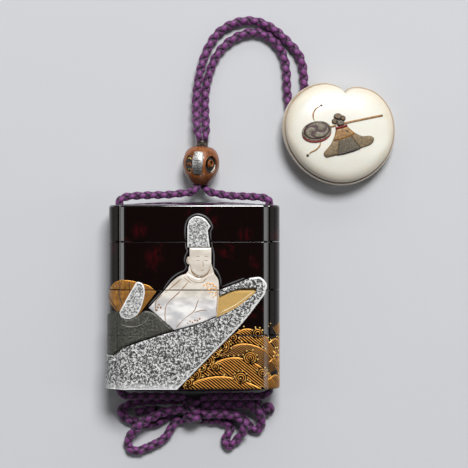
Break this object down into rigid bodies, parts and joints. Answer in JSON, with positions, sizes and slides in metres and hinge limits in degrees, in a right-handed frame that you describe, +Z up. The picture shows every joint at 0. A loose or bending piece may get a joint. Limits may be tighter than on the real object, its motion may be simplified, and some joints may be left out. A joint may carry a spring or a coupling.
{
  "type": "inro case",
  "caption": "Lacquered inro of nesting sections with a raised boat scene inlaid in pewter, lead and shell, strung on a silk cord with its ojime bead and its netsuke.",
  "frame": {"origin": "centre of the case's flat back, on the table that it lies on", "axes": "+X to the case's right as seen from its front, +Y towards the lid and the netsuke, +Z up out of the decorated front"},
  "size_m": [0.1181, 0.18, 0.0255],
  "materials": {
    "lacquer": "gloss",
    "pewter": "satin",
    "lead": "matte",
    "shell": "gloss",
    "bead_wood": "satin",
    "gilt": "satin",
    "ivory": "polished",
    "toy_metal": "satin",
    "red_lacquer": "satin",
    "horn": "satin",
    "silk": "matte"
  },
  "bodies": {
    "root": {"lid": "lacquer", "upper_tray": "lacquer", "middle_tray": "lacquer", "lower_tray": "lacquer", "cap_inlay_lid": "pewter", "cap_inlay_upper": "pewter", "prow_inlay_upper": "pewter", "gunwale_inlay_middle": "pewter", "hull_inlay_middle": "pewter", "hull_inlay_lower": "pewter", "rower_cap_inlay_upper": "pewter", "rower_cap_inlay_middle": "pewter", "head_inlay": "shell", "robe_inlay_upper": "shell", "robe_inlay_middle": "shell", "rower_robe_inlay_middle": "lead", "rower_robe_inlay_lower": "lead", "ojime_bead": "bead_wood", "ojime_collar": "gilt", "ojime_plate": "pewter", "netsuke_back": "ivory", "netsuke_front": "ivory", "netsuke_drum": "toy_metal", "netsuke_drum_rim": "red_lacquer", "netsuke_pouch_band": "red_lacquer", "netsuke_pouch_knot": "toy_metal", "netsuke_pouch": "bead_wood", "netsuke_stick": "horn", "cord_arch_outer": "silk", "cord_arch_inner": "silk", "cord_left_top": "silk", "cord_right_top": "silk", "cord_left_channel": "silk", "cord_right_channel": "silk", "cord_left_base": "silk", "cord_right_base": "silk", "bow_left_narrow": "silk", "bow_left_open": "silk", "bow_left_tail": "silk", "bow_right_loop": "silk", "bow_right_fold": "silk", "bow_right_tail": "silk", "bow_knot": "silk", "bow_tail_knob": "silk"}
  },
  "joints": []
}
